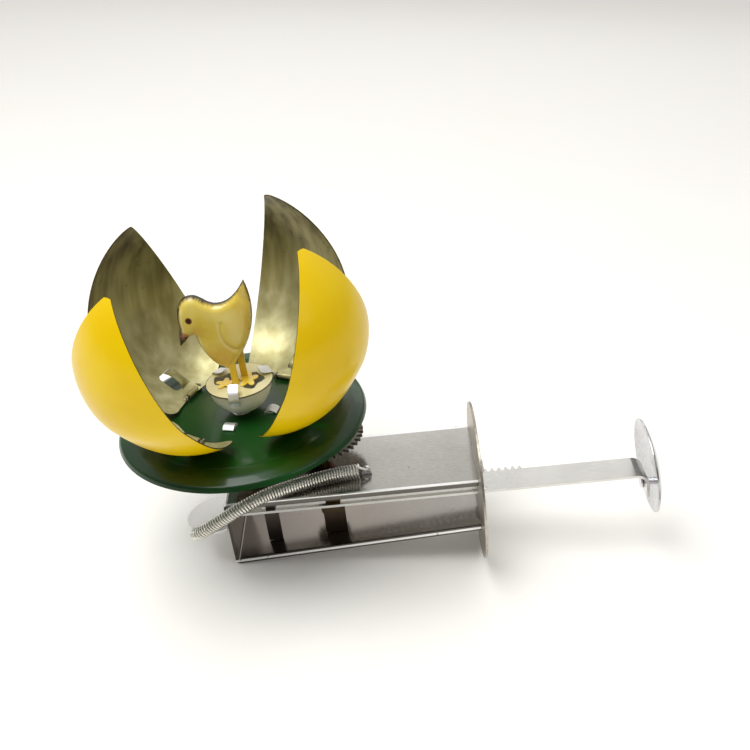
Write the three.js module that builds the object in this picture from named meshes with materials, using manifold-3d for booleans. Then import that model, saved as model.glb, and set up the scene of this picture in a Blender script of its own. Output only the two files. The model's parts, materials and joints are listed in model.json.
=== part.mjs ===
// A hand-held push toy in pressed tin: pushing the thumb pad drives a toothed rack
// through the frame, the rack turns an idler gear, and the idler spins a green disc
// that carries a four-petal egg with a chick inside. A coil spring draws the rack back.
// Millimetres. The toy is laid out upright (X along the frame, Z up the spindle) and is
// then leaned back to the attitude in which it rests on a table.
import * as THREE from "three";
import { mergeVertices } from "three/addons/utils/BufferGeometryUtils.js";
import Module from "manifold-3d";

const wasm = await Module();
wasm.setup();

// ---------- driving dimensions ----------
const DEG = Math.PI / 180;
const SHEET = 0.8; // frame sheet
const TIN = 0.4; // petals and disc
const GAP = 0.15; // running and seating clearance between pieces

const FRAME_LEFT = -9.9; // outer face of the left wall
const FRAME_RIGHT = 73.4; // where the strip meets the end plate
const FRAME_NEAR = -12.85;
const FRAME_FAR = 19.65;
const DEPTH_LEFT = 25.1; // frame depth below the top plate's upper face
const DEPTH_RIGHT = 20.5;
const FLANGE = 2.0; // turned edges of both plates
const BEND = 1.4; // outer radius of the frame's two bends

const END_RADIUS = 26.4;
const END_HEIGHT = -8.9; // centre of the end plate

const RACK_NEAR = -5.95;
const RACK_TOP = -9.5;
const RACK_SHEET = 1.0;
const RACK_BEND = 126.6; // where the rack turns down behind the pad
const RACK_TURN = 4.4; // outer radius of that bend
const TONGUE_CENTRE = new THREE.Vector2(-15.3, -5.0);
const TONGUE_RADIUS = 9.2;

const MODULE = 0.75;
const RACK_TEETH = 34;
const PINION_TEETH = 14;
const GEAR_TEETH = 42;
const SPINDLE_TEETH = 20;
const IDLER_OFFSET = 10.5; // how far the idler stands from the spindle, towards +Y
const GEAR_TOP = 9.2;

const PAD_RADIUS = 15.9;
const PAD_RIM = 130.6;
const PAD_DOME = 3;
const PAD_SHEET = 0.6;
const PAD_TILT = 4.5; // degrees: the pad's top leans towards the frame
const RIVET = 1.2;
const PAD_CENTRE = new THREE.Vector3(PAD_RIM, -1.4, -8.9);

const DISC_RADIUS = 40;
const DISC_TOP = 28;
const RIM_DROP = 2.6;
const SPIDER_ARMS = [75, 255, 346]; // directions of the disc clip's ears

const CUP_RADIUS = 10;
const CUP_TOP = 38.5;
const CUP_SHIFT = 1.1; // the cup and stand sit a little off the spindle, towards +X
const CUP_SHEET = 0.5;
const STAND_OVERHANG = 0.6;
const CHICK_SPLIT = 0.08; // half the gap between the chick's two pressed halves

const EGG_HEIGHT = 58.6;
const EGG_RADIUS = 31.5;
const EGG_WIDEST = 29.4; // height of the widest point above the disc
const EGG_BASE = 20.9; // radius of the lower edge
const EGG_FOOT = 3.0; // exponent of the lower curve
const EGG_POINT = 1.67; // exponent of the upper curve: below 2 the tip is pointed
const PETAL_FOOT = 0.3; // the petals' lower edge stands this far above the disc
const PETAL_HALF_ANGLE = 41.8;
// Extent of the rounded lower corners: one corner is cut back more than the other.
const PETAL_CORNERS = [
  { side: -1, in: 8.5, out: 16.5, up: 5 },
  { side: 1, in: 12.5, out: 17.2, up: 1.6 },
];
const WINDOW = { low: 3.9, high: 10.7, half: 3.3, tongue: 2.6 };
const HINGE_RADIUS = 21.1;
const HINGE_HEIGHT = 1.35; // above the disc
const HINGE_PIN = 0.4;
const HINGE_EAR = 0.9; // half the width of a bracket's ears
const KNUCKLE = 0.95;
const EAR_SPAN = 4; // the hinge ears stand this far either side of a petal's middle
// Each hinge's direction round the disc, how far its petal stands open, and how far its pin
// is turned from square, which makes the petal lean sideways as it opens.
const PETALS = [
  { azimuth: 49.6, open: 32.4, skew: 15.6 },
  { azimuth: 146.3, open: 24.4, skew: 10.8 },
  { azimuth: 231.1, open: 35.9, skew: 4.1 },
  { azimuth: 325.5, open: 30.0, skew: 3.6 },
];

const TRAVEL = 48; // how far the rack is pushed in
const TAB_HALF = 3.2; // half the width of the tabs that hold the end plate
const TAB_CENTRES = [-4.6, 11.4];
const TAB_REACH = 1.6; // how far the tabs stand out beyond the end plate
const POSTS = [
  { x: 3.5, half: 1.6, name: "guide_strip_left" },
  { x: 24.8, half: 2.45, name: "guide_strip_right" },
];
const POST_Y = RACK_NEAR + 1.9; // middle of the rack's guide slot
const POST_HALF = 0.5; // half the thickness of a guide strip
const EAR = { x: 37.4, y: -3.2, hole: 1.9 }; // where the spring is hooked to the top plate
const HOOK = new THREE.Vector2(-18.8, -11.2); // where it is hooked to the tongue
const SHAFT = 1.5; // radius of both turning shafts
const SPINDLE_BORE = 3.15;
const IDLER_BORE = 2.6;
const HOOK_WIRE = 0.35;
const SPRING_RADIUS = 2.25;
const SPRING_ROUTE = [
  [35.0, -4.2, 2.6],
  [25.3, -5.6, 2.6],
  [15.4, -8.6, 2.6],
  [5.7, -12.4, 2.6],
  [-2.6, -15.8, 1.0],
  [-10.6, -16.8, -2.9],
  [-16.9, -16.6, -6.6],
  [-20.6, -14.9, -9.0],
];

// worked out from the above
const IDLER = new THREE.Vector2(
  Math.sqrt(((MODULE * (GEAR_TEETH + SPINDLE_TEETH)) / 2) ** 2 - IDLER_OFFSET ** 2),
  IDLER_OFFSET,
);
const PITCH = Math.PI * MODULE;
const RACK_PITCH_LINE = IDLER.y - (MODULE * PINION_TEETH) / 2;
const RACK_BOTTOM = RACK_TOP - RACK_SHEET;
const END_FAR = FRAME_RIGHT + GAP + SHEET;
const STAND_Z = CUP_TOP + GAP;
const HINGE_Z = DISC_TOP + HINGE_HEIGHT;
const TURN_DOWN = RACK_BEND + RACK_TURN; // outer face of the rack's turned-down end
const RIVET_HEIGHT = PAD_CENTRE.z - 7.6;
const PAD_BACK = PAD_RIM + PAD_DOME + PAD_SHEET - TURN_DOWN; // the pad's crown, from there
// Lowest points at the two ends set how far the toy leans back.
const LEAN = Math.atan2(
  END_RADIUS - END_HEIGHT - DEPTH_LEFT,
  FRAME_RIGHT + GAP - FRAME_LEFT,
);

// ---------- finishes ----------
const finish = (color, roughness, metalness) =>
  new THREE.MeshStandardMaterial({ color, roughness, metalness });
const STEEL = finish(0xb9b5ad, 0.25, 1);
const BRIGHT = finish(0xd8d6d0, 0.2, 1);
const DARK_STEEL = finish(0x6a655c, 0.4, 1);
const BRASS = finish(0xa08a4a, 0.35, 1);
const GREEN = finish(0x123c12, 0.2, 0);
const YELLOW = finish(0xe0bd1a, 0.15, 0);
const CHICK = finish(0xd8b24a, 0.3, 0);
const CREAM = finish(0xb5a878, 0.35, 0.3);
const RED = finish(0x7a1712, 0.7, 0);

// ---------- solids ----------
// A three.js geometry as a manifold-3d solid, so that it can be joined and cut.
function solid(geometry) {
  const g = geometry.index ? geometry.toNonIndexed() : geometry.clone();
  g.deleteAttribute("normal");
  g.deleteAttribute("uv");
  const merged = mergeVertices(g, 1e-4);
  return new wasm.Manifold(
    new wasm.Mesh({
      numProp: 3,
      vertProperties: merged.attributes.position.array,
      triVerts: new Uint32Array(merged.index.array),
    }),
  );
}

function union(...pieces) {
  return pieces.reduce((a, b) => a.add(b));
}

function cut(body, ...tools) {
  return tools.reduce((a, b) => a.subtract(b), body);
}

function box(x0, x1, y0, y1, z0, z1) {
  const g = new THREE.BoxGeometry(x1 - x0, y1 - y0, z1 - z0);
  return solid(g.translate((x0 + x1) / 2, (y0 + y1) / 2, (z0 + z1) / 2));
}

// A closed [radius, height] profile turned about Z; the outer side runs upwards.
function turned(profile, segments = 32) {
  const points = profile.map(([r, z]) => new THREE.Vector2(r, z));
  return solid(new THREE.LatheGeometry(points, segments).rotateX(Math.PI / 2));
}

function rod(radius, z0, z1, segments = 20) {
  return turned([[0, z0], [radius, z0], [radius, z1], [0, z1]], segments);
}

function ring(inner, outer, z0, z1, segments = 24) {
  return turned(
    [[inner, z0], [outer, z0], [outer, z1], [inner, z1], [inner, z0]],
    segments,
  );
}

// An outline in the XY plane, from z0 to z1.
function slab(outline, z0, z1, curveSegments = 6) {
  const g = new THREE.ExtrudeGeometry(outline, {
    depth: z1 - z0,
    bevelEnabled: false,
    curveSegments,
  });
  return solid(g.translate(0, 0, z0));
}

// An outline in the XZ plane, from y0 to y1.
function slabAcross(outline, y0, y1, curveSegments = 6) {
  const g = new THREE.ExtrudeGeometry(outline, {
    depth: y1 - y0,
    bevelEnabled: false,
    curveSegments,
  });
  return solid(g.rotateX(Math.PI / 2).translate(0, y1, 0));
}

function outline(points) {
  return new THREE.Shape(points.map(([x, y]) => new THREE.Vector2(x, y)));
}

function tube(points, radius, steps, sides = 8) {
  const curve = new THREE.CatmullRomCurve3(points.map((p) => new THREE.Vector3(...p)));
  const section = new THREE.Shape();
  for (let i = 0; i < sides; i++) {
    const a = (i * 2 * Math.PI) / sides;
    if (i) section.lineTo(radius * Math.cos(a), radius * Math.sin(a));
    else section.moveTo(radius, 0);
  }
  return solid(
    new THREE.ExtrudeGeometry(section, { steps, extrudePath: curve, bevelEnabled: false }),
  );
}

// A solid as a named mesh, added to its group.
function piece(group, name, body, material) {
  const made = body.getMesh();
  const g = new THREE.BufferGeometry();
  g.setAttribute("position", new THREE.BufferAttribute(made.vertProperties, 3));
  g.setIndex(new THREE.BufferAttribute(made.triVerts, 1));
  const mesh = new THREE.Mesh(g, material);
  mesh.name = name;
  group.add(mesh);
  return mesh;
}

// ---------- gears ----------
// One tooth and the root after it, as [height above the pitch line, share of the pitch].
const TOOTH = [
  [-1.2, -0.33],
  [0.95, -0.1],
  [0.95, 0.1],
  [-1.2, 0.33],
];

function gearOutline(teeth, phase) {
  const pitchRadius = (MODULE * teeth) / 2;
  const points = [];
  for (let i = 0; i < teeth; i++) {
    for (const [height, share] of TOOTH) {
      const r = pitchRadius + height * MODULE;
      const a = phase + ((i + share) * 2 * Math.PI) / teeth;
      points.push([r * Math.cos(a), r * Math.sin(a)]);
    }
  }
  return outline(points);
}

function gear(teeth, bore, z0, z1, phase) {
  return cut(slab(gearOutline(teeth, phase), z0, z1), rod(bore, z0 - 1, z1 + 1));
}

// ---------- frame ----------
// The frame strip's XZ outline: top plate, left wall and sloping bottom plate.
function stripOutline() {
  const inner = BEND - SHEET;
  const slope = (DEPTH_LEFT - DEPTH_RIGHT) / (FRAME_RIGHT - FRAME_LEFT);
  const floorAt = (x) => -DEPTH_LEFT + slope * (x - FRAME_LEFT);
  const s = new THREE.Shape();
  s.moveTo(FRAME_RIGHT, -SHEET);
  s.lineTo(FRAME_RIGHT, 0);
  s.lineTo(FRAME_LEFT + BEND, 0);
  s.absarc(FRAME_LEFT + BEND, -BEND, BEND, Math.PI / 2, Math.PI, false);
  s.lineTo(FRAME_LEFT, floorAt(FRAME_LEFT) + BEND);
  s.absarc(FRAME_LEFT + BEND, floorAt(FRAME_LEFT) + BEND, BEND, Math.PI, Math.PI * 1.5, false);
  s.lineTo(FRAME_RIGHT, floorAt(FRAME_RIGHT));
  s.lineTo(FRAME_RIGHT, floorAt(FRAME_RIGHT) + SHEET);
  s.lineTo(FRAME_LEFT + BEND, floorAt(FRAME_LEFT + BEND) + SHEET);
  s.absarc(FRAME_LEFT + BEND, floorAt(FRAME_LEFT) + BEND, inner, Math.PI * 1.5, Math.PI, true);
  s.lineTo(FRAME_LEFT + SHEET, -BEND);
  s.absarc(FRAME_LEFT + BEND, -BEND, inner, Math.PI, Math.PI / 2, true);
  return { shape: s, floorAt };
}

function frameStrip() {
  const { shape, floorAt } = stripOutline();
  const left = FRAME_LEFT + BEND + 0.6;
  const topFlange = outline([
    [left, -FLANGE],
    [FRAME_RIGHT, -FLANGE],
    [FRAME_RIGHT, -0.1],
    [left, -0.1],
  ]);
  const lowFlange = outline([
    [left, floorAt(left) + 0.1],
    [FRAME_RIGHT, floorAt(FRAME_RIGHT) + 0.1],
    [FRAME_RIGHT, floorAt(FRAME_RIGHT) + FLANGE],
    [left, floorAt(left) + FLANGE],
  ]);
  const edges = [[FRAME_NEAR, FRAME_NEAR + SHEET], [FRAME_FAR - SHEET, FRAME_FAR]];
  const flanges = edges.flatMap(([y0, y1]) => [
    slabAcross(topFlange, y0, y1),
    slabAcross(lowFlange, y0, y1),
  ]);
  const floorEnd = floorAt(FRAME_RIGHT);
  const tabs = TAB_CENTRES.flatMap((y) =>
    [-SHEET, floorEnd].map((z) =>
      box(FRAME_RIGHT - 1, END_FAR + TAB_REACH, y - TAB_HALF, y + TAB_HALF, z, z + SHEET),
    ),
  );
  const earOutline = new THREE.Shape();
  earOutline.moveTo(EAR.x + 1.8, -0.4);
  earOutline.lineTo(EAR.x + 1.35, 1.6);
  earOutline.absarc(EAR.x, EAR.hole, 1.35, -0.15, Math.PI + 0.15, false);
  earOutline.lineTo(EAR.x - 1.8, -0.4);
  const ear = slabAcross(earOutline, EAR.y - SHEET / 2, EAR.y + SHEET / 2);
  const earHole = rod(0.8, -4, 4, 12).rotate([90, 0, 0]).translate([EAR.x, EAR.y, EAR.hole]);
  const wallSlot = box(
    FRAME_LEFT - 2, FRAME_LEFT + 2,
    RACK_NEAR - 0.4, RACK_PITCH_LINE + MODULE + 0.4,
    RACK_BOTTOM - 0.4, RACK_TOP + 0.4,
  );
  return cut(
    union(slabAcross(shape, FRAME_NEAR, FRAME_FAR), ...flanges, ...tabs, ear),
    earHole,
    wallSlot,
    rod(SPINDLE_BORE, -3, 2),
    rod(IDLER_BORE, -40, 2).translate([IDLER.x, IDLER.y, 0]),
  );
}

function endPlate() {
  const floorEnd = stripOutline().floorAt(FRAME_RIGHT);
  const plate = rod(END_RADIUS, 0, SHEET, 48)
    .rotate([0, 90, 0])
    .translate([FRAME_RIGHT + GAP, 0, END_HEIGHT]);
  const slots = TAB_CENTRES.flatMap((y) =>
    [-SHEET, floorEnd].map((z) =>
      box(FRAME_RIGHT - 2, END_FAR + 2, y - TAB_HALF - GAP, y + TAB_HALF + GAP, z - GAP, z + SHEET + GAP),
    ),
  );
  const rackSlot = box(
    FRAME_RIGHT - 2, END_FAR + 2,
    RACK_NEAR - 0.4, RACK_PITCH_LINE + MODULE + 0.4,
    RACK_BOTTOM - 0.4, RACK_TOP + 0.4,
  );
  return cut(plate, ...slots, rackSlot);
}

// A flat strip between the two plates; the rack's slot runs along it.
function guideStrip({ x, half }) {
  const floor = stripOutline().floorAt(x - half) + SHEET + 0.4;
  const upper = box(x - half, x + half, POST_Y - POST_HALF, POST_Y + POST_HALF, floor, -SHEET - GAP);
  const shoulder = half * 1.5;
  const lower = box(
    x - shoulder, x + shoulder,
    POST_Y - POST_HALF, POST_Y + POST_HALF,
    floor, RACK_BOTTOM - 1.6,
  );
  return union(upper, lower);
}

// ---------- rack and pad ----------
function rackStrip() {
  const far = RACK_PITCH_LINE - MODULE * 1.2;
  const first = IDLER.x - 4.5 * PITCH; // the fifth tooth stands in the pinion's gap
  const s = new THREE.Shape();
  s.moveTo(FRAME_LEFT - 0.3, RACK_NEAR);
  s.lineTo(RACK_BEND, RACK_NEAR);
  s.lineTo(RACK_BEND, far);
  s.lineTo(first + PITCH * RACK_TEETH, far);
  for (let i = RACK_TEETH; i > 0; i--) {
    const centre = first + PITCH * (i - 0.5);
    for (const [height, share] of [...TOOTH].reverse()) {
      s.lineTo(centre + share * PITCH, RACK_PITCH_LINE + height * MODULE);
    }
  }
  s.lineTo(first, far);
  s.lineTo(FRAME_LEFT - 0.3, far);
  const stripBody = slab(s, RACK_BOTTOM, RACK_TOP);
  const tongue = cut(
    rod(TONGUE_RADIUS, RACK_BOTTOM, RACK_TOP, 40).translate([TONGUE_CENTRE.x, TONGUE_CENTRE.y, 0]),
    box(FRAME_LEFT - 0.35, 20, -30, 30, RACK_BOTTOM - 1, RACK_TOP + 1),
  );
  const neck = box(FRAME_LEFT - 3, FRAME_LEFT + 1, RACK_NEAR, far, RACK_BOTTOM, RACK_TOP);
  const guideSlot = box(
    POSTS[0].x - POSTS[0].half - 1.5, POSTS[1].x + POSTS[1].half + TRAVEL + 1.5,
    POST_Y - POST_HALF - 0.3, POST_Y + POST_HALF + 0.3,
    RACK_BOTTOM - 1, RACK_TOP + 1,
  );
  const hookHole = rod(0.8, RACK_BOTTOM - 1, RACK_TOP + 1, 12).translate([HOOK.x, HOOK.y, 0]);
  return cut(union(stripBody, tongue, neck, turnDown(far)), guideSlot, hookHole);
}

// The rack's end, bent down on a radius to lie against the pad.
function turnDown(far) {
  const low = PAD_CENTRE.z - 10.2;
  const s = new THREE.Shape();
  s.moveTo(RACK_BEND - 0.5, RACK_TOP);
  s.lineTo(RACK_BEND, RACK_TOP);
  s.absarc(RACK_BEND, RACK_TOP - RACK_TURN, RACK_TURN, Math.PI / 2, 0, true);
  s.lineTo(TURN_DOWN, low);
  s.lineTo(TURN_DOWN - RACK_SHEET, low);
  s.lineTo(TURN_DOWN - RACK_SHEET, RACK_TOP - RACK_TURN);
  s.absarc(RACK_BEND, RACK_TOP - RACK_TURN, RACK_TURN - RACK_SHEET, 0, Math.PI / 2, false);
  s.lineTo(RACK_BEND - 0.5, RACK_BOTTOM);
  return cut(slabAcross(s, RACK_NEAR, far), rivetRod(RIVET + GAP, -5, 5));
}

// A shallow dish, its hollow side towards the frame.
function thumbPad() {
  const sphere = (PAD_RADIUS ** 2 + PAD_DOME ** 2) / (2 * PAD_DOME);
  const steps = 4;
  const arc = (offset) =>
    Array.from({ length: steps + 1 }, (_, i) => {
      const r = (PAD_RADIUS * i) / steps;
      return [r, Math.sqrt(sphere ** 2 - r ** 2) - sphere + PAD_DOME + offset];
    });
  const profile = [...arc(0), ...arc(PAD_SHEET).reverse()];
  const dish = turned(profile, 32).rotate([0, 90 - PAD_TILT, 0]);
  const placed = dish.translate([PAD_CENTRE.x, PAD_CENTRE.y, PAD_CENTRE.z]);
  return cut(placed, rivetRod(RIVET + GAP, -10, 20));
}

// A rod along X on the pad rivet's line, from x0 to x1 past the rack's turned-down end.
function rivetRod(radius, x0, x1) {
  const y = (RACK_NEAR + RACK_PITCH_LINE) / 2;
  return rod(radius, x0, x1, 16).rotate([0, 90, 0]).translate([TURN_DOWN, y, RIVET_HEIGHT]);
}

// It holds the rack's turned-down end and the pad together, and spaces them.
function padRivet() {
  return union(
    rivetRod(RIVET + 0.9, -RACK_SHEET - GAP - 0.7, -RACK_SHEET - GAP),
    rivetRod(RIVET, -RACK_SHEET - GAP - 0.1, PAD_BACK + 0.4),
    rivetRod(RIVET + 0.9, PAD_BACK + 0.3, PAD_BACK + 0.7),
  );
}

// ---------- return spring ----------
function returnSpring() {
  const coil = tube(SPRING_ROUTE, SPRING_RADIUS, 18, 10);
  const upperHook = [
    [34.4, -4.2, 2.6],
    [36.2, -4.4, 2.9],
    [37.3, -3.9, 2.2],
    [37.4, -3.2, 1.9],
    [37.3, -2.4, 1.7],
  ];
  const lowerHook = [
    [-20.4, -15.0, -9.0],
    [-21.6, -13.6, -9.9],
    [-20.6, -11.8, -11.2],
    [-18.9, -11.2, -10.8],
    [-18.8, -11.2, -9.6],
  ];
  return union(coil, tube(upperHook, HOOK_WIRE, 6, 6), tube(lowerHook, HOOK_WIRE, 7, 6));
}

// ---------- disc, cup and chick ----------
function greenDisc() {
  const outer = [
    [3.2, 0],
    [31, 0],
    [32.5, 0.35],
    [36, 0.35],
    [39.4, -1.2],
    [DISC_RADIUS, -RIM_DROP],
  ];
  const inner = [
    [DISC_RADIUS - TIN, -RIM_DROP],
    [39.0, -1.4],
    [35.8, -0.1],
    [32.7, -0.1],
    [31.2, -TIN],
    [3.2, -TIN],
  ];
  const profile = [...inner.reverse(), ...outer.reverse()].map(([r, z]) => [r, z + DISC_TOP]);
  profile.push(profile[0]);
  const slots = SPIDER_ARMS.map((a) =>
    box(8.2, 9.3, -2.1, 2.1, DISC_TOP - 2, DISC_TOP + 2).rotate([0, 0, a]),
  );
  const hingeSlots = PETALS.flatMap(({ azimuth, skew }) =>
    [-EAR_SPAN, EAR_SPAN].map((y) =>
      box(
        -HINGE_EAR - GAP, HINGE_EAR + GAP,
        y - 0.3 - GAP, y + 0.3 + GAP,
        DISC_TOP - 2, DISC_TOP + 2,
      ).rotate([0, 0, skew]).translate([HINGE_RADIUS, 0, 0]).rotate([0, 0, azimuth]),
    ),
  );
  return cut(turned(profile, 52), ...slots, ...hingeSlots);
}

// Three-armed clip under the disc: its ears come up through the disc and fold outwards.
function discClip() {
  const under = DISC_TOP - TIN - GAP;
  const arms = SPIDER_ARMS.map((a) => {
    const arm = box(2.5, 9.0, -1.9, 1.9, under - 0.5, under);
    const ear = box(8.5, 9.0, -1.9, 1.9, under - 0.5, DISC_TOP + 0.7);
    const fold = box(8.5, 11.2, -1.9, 1.9, DISC_TOP + GAP, DISC_TOP + 0.7);
    return union(arm, ear, fold).rotate([0, 0, a]);
  });
  return cut(union(ring(2.2, 5, under - 0.5, under), ...arms), rod(2.2, 0, 60));
}

function cup() {
  const steps = 5;
  const arc = (radius) =>
    Array.from({ length: steps + 1 }, (_, i) => {
      const a = -Math.PI / 2 + ((i / steps) * Math.PI) / 2;
      return [Math.max(radius * Math.cos(a), 0), CUP_TOP + radius * Math.sin(a)];
    });
  const profile = [...arc(CUP_RADIUS), ...arc(CUP_RADIUS - CUP_SHEET).reverse()];
  const bowl = turned(profile, 24).translate([CUP_SHIFT, 0, 0]);
  return cut(bowl, rod(SHAFT + GAP, 0, CUP_TOP));
}

// The plate that closes the cup, with two cut-outs for the bowl's tabs.
function chickStand() {
  const plate = rod(CUP_RADIUS + STAND_OVERHANG, STAND_Z, STAND_Z + TIN, 36);
  const cutOuts = [-1, 1].map((side) =>
    box(-6.5, -3.5, side * 5 - 1.6, side * 5 + 1.6, STAND_Z - 1, STAND_Z + 1),
  );
  return cut(plate, ...cutOuts).translate([CUP_SHIFT, 0, 0]);
}

// The chick's side view, facing -X, as [x, z].
function chickShape() {
  const s = new THREE.Shape();
  s.moveTo(8.2, 73.4);
  s.bezierCurveTo(10.5, 66, 9.5, 56, 3.0, 48.1);
  s.bezierCurveTo(1.5, 45.5, -0.2, 44.0, -1.6, 44.2);
  s.bezierCurveTo(-5.5, 46.0, -8.6, 50.5, -9.3, 57.0);
  s.lineTo(-11.4, 56.4);
  s.lineTo(-14.6, 53.4);
  s.lineTo(-13.6, 59.9);
  s.bezierCurveTo(-14.2, 65, -12.4, 70.2, -8.1, 70.0);
  s.bezierCurveTo(-5.4, 69.8, -4.4, 66.8, -1.2, 66.6);
  s.bezierCurveTo(2.6, 66.4, 5.6, 69.4, 8.2, 73.4);
  return s;
}

function lens(x, z, rx, ry, rz) {
  return solid(new THREE.SphereGeometry(1, 14, 9).scale(rx, ry, rz).translate(x, 0, z));
}

// One pressed half of the chick: side is -1 for the half nearest the viewer, +1 for the other.
function chickHalf(side) {
  const bulge = union(
    lens(0.2, 56, 12.4, 3.2, 15),
    lens(-8.6, 63.5, 8.0, 2.8, 8.4),
    box(-20, 12, -0.8, 0.8, 40, 76),
  );
  const body = slabAcross(chickShape(), -5, 5, 4).intersect(bulge);
  const near = box(-30, 30, -10, -CHICK_SPLIT, 30, 80);
  const far = box(-30, 30, CHICK_SPLIT, 10, 30, 80);
  const standTop = STAND_Z + TIN + GAP;
  const legNear = side < 0 ? -2.4 : 1.6;
  const legLeft = side < 0 ? -0.9 : 1.6;
  const leg = box(legLeft, legLeft + 2.2, legNear, legNear + 0.8, standTop, 49);
  const toes = outline([
    [2.2, 0.3], [0.8, 1.8], [-0.8, 4.0], [-1.6, 1.9], [-4.2, 2.6],
    [-2.6, 0], [-4.2, -2.6], [-1.6, -1.9], [-0.8, -4.0], [0.8, -1.8],
  ]);
  const star = slab(toes, standTop, standTop + TIN);
  const foot = side < 0
    ? star.scale([1, 0.75, 1]).translate([-2.1, -1.7, 0])
    : star.mirror([1, 0, 0]).translate([2.9, -0.4, 0]);
  return union(body.intersect(side < 0 ? near : far), leg, foot);
}

// ---------- petals ----------
function eggRadius(height) {
  if (height < EGG_WIDEST) {
    const below = (1 - height / EGG_WIDEST) ** EGG_FOOT;
    return EGG_BASE + (EGG_RADIUS - EGG_BASE) * (1 - below);
  }
  const share = (height - EGG_WIDEST) / (EGG_HEIGHT - EGG_WIDEST);
  return EGG_RADIUS * Math.max(0, 1 - share ** EGG_POINT) ** (1 / EGG_POINT);
}

// Heights crowd together towards both ends, where the curve turns fastest.
function eggHeight(i, steps) {
  return (EGG_HEIGHT * (1 - Math.cos((Math.PI * i) / steps))) / 2;
}

// The whole egg as a thin shell, open at the base.
function eggShell() {
  const steps = 11;
  const outer = [];
  for (let i = 0; i <= steps; i++) {
    const h = eggHeight(i, steps);
    outer.push([eggRadius(h), h]);
  }
  const inner = outer.map(([r, h], i) => {
    const [ra, ha] = outer[Math.max(i - 1, 0)];
    const [rb, hb] = outer[Math.min(i + 1, steps)];
    const length = Math.hypot(rb - ra, hb - ha);
    return [Math.max(r - (TIN * (hb - ha)) / length, 0), i === 0 ? 0 : h + (TIN * (rb - ra)) / length];
  });
  inner[steps] = [0, EGG_HEIGHT - TIN * 1.4];
  return turned([...outer, ...inner.reverse(), outer[0]], 44);
}

// What is cut away to round one lower corner of a petal.
function cornerCut({ side, in: near, out, up }) {
  const s = new THREE.Shape();
  s.moveTo(near, -2);
  s.lineTo(near, 0);
  s.quadraticCurveTo(out - 2.6, 0, out, up);
  s.lineTo(out + 8, up);
  s.lineTo(out + 8, -2);
  const tool = slab(s, 8, 34).rotate([90, 0, 0]).rotate([0, 0, 90]);
  return side > 0 ? tool : tool.mirror([0, 1, 0]);
}

// The tongue pressed inwards along one side of the window.
function windowTongue() {
  const { low, high, half, tongue } = WINDOW;
  const heights = [0, 1, 2, 3].map((i) => low + 0.4 + (i / 3) * (high - low - 0.8));
  const along = (offset) => heights.map((h) => [eggRadius(h) - offset, h]);
  const section = outline([...along(TIN), ...along(TIN + tongue).reverse()]);
  return slabAcross(section, -half - 0.1, -half + 0.3);
}

// One closed petal about its hinge's middle: X outwards, Y along the pin. The shell itself
// stands turned by the hinge's skew.
function petal(egg, skew) {
  const reach = 60;
  const edge = reach * Math.tan(PETAL_HALF_ANGLE * DEG);
  const sector = outline([[0.6, 0], [reach, -edge], [reach, edge]]);
  const wedge = slab(sector, PETAL_FOOT, EGG_HEIGHT + 1);
  const windowHole = box(15, 32, -WINDOW.half, WINDOW.half, WINDOW.low, WINDOW.high);
  const pressed = cut(egg.intersect(wedge), windowHole, ...PETAL_CORNERS.map(cornerCut));
  const shell = union(pressed, windowTongue())
    .translate([-HINGE_RADIUS, 0, -HINGE_HEIGHT])
    .rotate([0, 0, -skew]);
  const notches = [-1, 1].map((side) =>
    box(-4, 4, side * EAR_SPAN - 0.8, side * EAR_SPAN + 0.8, -1 - HINGE_HEIGHT, 1.5),
  );
  const knuckle = rod(KNUCKLE, -2.6, 2.6, 14).rotate([90, 0, 0]);
  const bore = rod(HINGE_PIN + 0.22, -EAR_SPAN, EAR_SPAN, 12).rotate([90, 0, 0]);
  return cut(union(cut(shell, ...notches), knuckle), bore);
}

// The bracket under the disc, about its pin's middle: two ears come up through the disc and
// hold the petal's pin.
function hingeBracket() {
  const seat = -HINGE_HEIGHT - TIN - GAP;
  const base = box(
    -HINGE_EAR - 1, HINGE_EAR + 1,
    -EAR_SPAN - 0.3, EAR_SPAN + 0.3,
    seat - 0.5, seat,
  );
  const ears = [-EAR_SPAN, EAR_SPAN].map((y) =>
    box(-HINGE_EAR, HINGE_EAR, y - 0.3, y + 0.3, seat - 0.5, HINGE_EAR),
  );
  const bore = rod(HINGE_PIN + 0.1, -9, 9, 12).rotate([90, 0, 0]);
  return cut(union(base, ...ears), bore);
}

function hingePin() {
  const half = EAR_SPAN + 0.7;
  return rod(HINGE_PIN, -half, half, 12).rotate([90, 0, 0]);
}

// ---------- bushes ----------
// A flanged bush: its neck stands in a plate's hole, and its collar rests on the plate.
function bush(neck, collar, height) {
  return turned(
    [
      [SHAFT + GAP, -2.4],
      [neck, -2.4],
      [neck, GAP],
      [collar, GAP],
      [collar, height],
      [SHAFT + GAP, height],
      [SHAFT + GAP, -2.4],
    ],
    24,
  );
}

// ---------- assembly ----------
const toy = new THREE.Group();
const floorAtIdler = stripOutline().floorAt(IDLER.x);
const meshAngle = Math.atan2(-IDLER.y, -IDLER.x); // from the idler to the spindle

piece(toy, "frame_strip", frameStrip(), STEEL);
piece(toy, "end_plate", endPlate(), STEEL);
for (const post of POSTS) {
  piece(toy, post.name, guideStrip(post), BRASS);
}
piece(toy, "spindle_bush", bush(SPINDLE_BORE - GAP, 4.2, 1.4), BRASS);
const upperBush = bush(IDLER_BORE - GAP, 3.8, 5.9).translate([IDLER.x, IDLER.y, 0]);
piece(toy, "idler_bush_upper", upperBush, BRASS);
const lowerBush = ring(SHAFT + GAP, IDLER_BORE - 0.35, floorAtIdler + 0.2, floorAtIdler + 2.6);
piece(toy, "idler_bush_lower", lowerBush.translate([IDLER.x, IDLER.y, 0]), BRASS);
piece(toy, "return_spring", returnSpring(), BRIGHT);

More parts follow.
